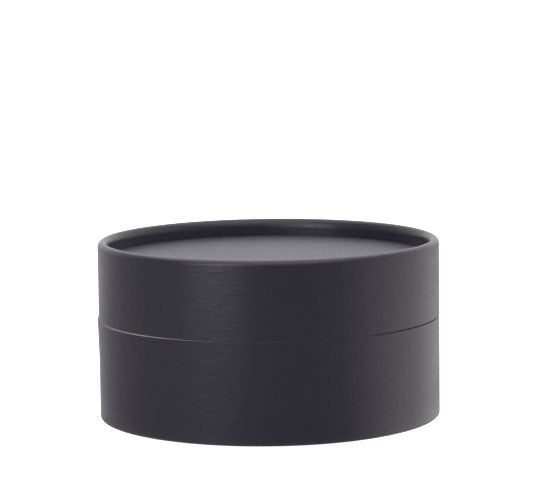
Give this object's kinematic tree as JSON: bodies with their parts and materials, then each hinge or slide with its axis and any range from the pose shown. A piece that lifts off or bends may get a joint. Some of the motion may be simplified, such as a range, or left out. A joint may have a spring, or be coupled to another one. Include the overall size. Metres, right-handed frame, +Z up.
{
  "type": "round box",
  "caption": "Low round paperboard box with a rolled foot, a rolled and recessed lid that lifts off an inner neck, and black paper over the outside.",
  "frame": {"origin": "centre of the ring that the box stands on, at floor level", "axes": "+Z up along the box's axis, from the foot to the lid; X and Y alike, because the box is round"},
  "size_m": [0.1002, 0.1002, 0.052],
  "materials": {
    "black_paper": "satin, fine fibre grain",
    "wound_board": "raw grey board",
    "disc_board": "raw grey board",
    "kraft_lining": "matt natural kraft"
  },
  "bodies": {
    "base": {"base_cover": "black_paper", "base_outer_ply": "wound_board", "base_inner_ply": "wound_board", "base_disc_facing": "black_paper", "base_disc": "disc_board", "base_floor_lining": "kraft_lining", "neck_facing": "black_paper", "neck_outer_ply": "wound_board", "neck_inner_ply": "wound_board", "neck_lining": "kraft_lining"},
    "lid": {"lid_cover": "black_paper", "lid_outer_ply": "wound_board", "lid_inner_ply": "wound_board", "lid_disc_facing": "black_paper", "lid_disc": "disc_board", "lid_disc_lining": "kraft_lining"}
  },
  "joints": [
    {"name": "lid_lift", "type": "slide", "parent": "base", "child": "lid", "axis": [0, 0, 1], "range_m": [0, 0.05]}
  ]
}
